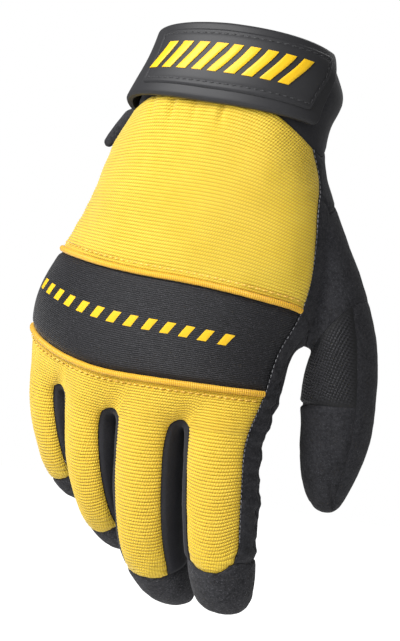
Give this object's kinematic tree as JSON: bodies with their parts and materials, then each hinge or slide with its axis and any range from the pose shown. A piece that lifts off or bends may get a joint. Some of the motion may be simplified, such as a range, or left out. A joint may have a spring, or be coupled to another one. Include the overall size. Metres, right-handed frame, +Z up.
{
  "type": "work glove",
  "caption": "Right-hand work glove in its worn shape: ribbed stretch back, padded knuckle band with piping, synthetic leather palm and fingertips, moulded wrist strap",
  "frame": {"origin": "centre of the wrist opening", "axes": "+Z up the forearm out of the wrist opening with the fingers pointing down, -Y out of the back of the hand, +X towards the thumb side"},
  "size_m": [0.1388, 0.0748, 0.2216],
  "materials": {
    "yellow_knit": "ribbed stretch knit, soft sheen",
    "yellow_cord": "satin covered cord",
    "black_knit": "fine twill, matt",
    "black_leather": "suede-like synthetic leather",
    "mesh_knit": "knobbly textured patch",
    "moulded_rubber": "moulded, half matt",
    "neoprene": "stretch neoprene, matt"
  },
  "bodies": {
    "root": {"cuff": "neoprene", "wrist_strap": "moulded_rubber", "strap_label": "moulded_rubber", "back_panel": "yellow_knit", "knuckle_band": "black_knit", "finger_backs": "yellow_knit", "upper_piping": "yellow_cord", "lower_piping": "yellow_cord", "palm": "black_leather", "index_side": "black_leather", "little_ring_fourchette": "black_knit", "ring_middle_fourchette": "black_knit", "middle_index_fourchette": "black_knit", "little_tip": "black_leather", "ring_tip": "black_leather", "middle_tip": "black_leather", "index_tip": "black_leather", "thumb_root": "black_leather", "thumb_saddle": "mesh_knit", "thumb_back": "black_leather", "thumb_front": "black_leather", "side_binding": "black_leather"}
  },
  "joints": []
}
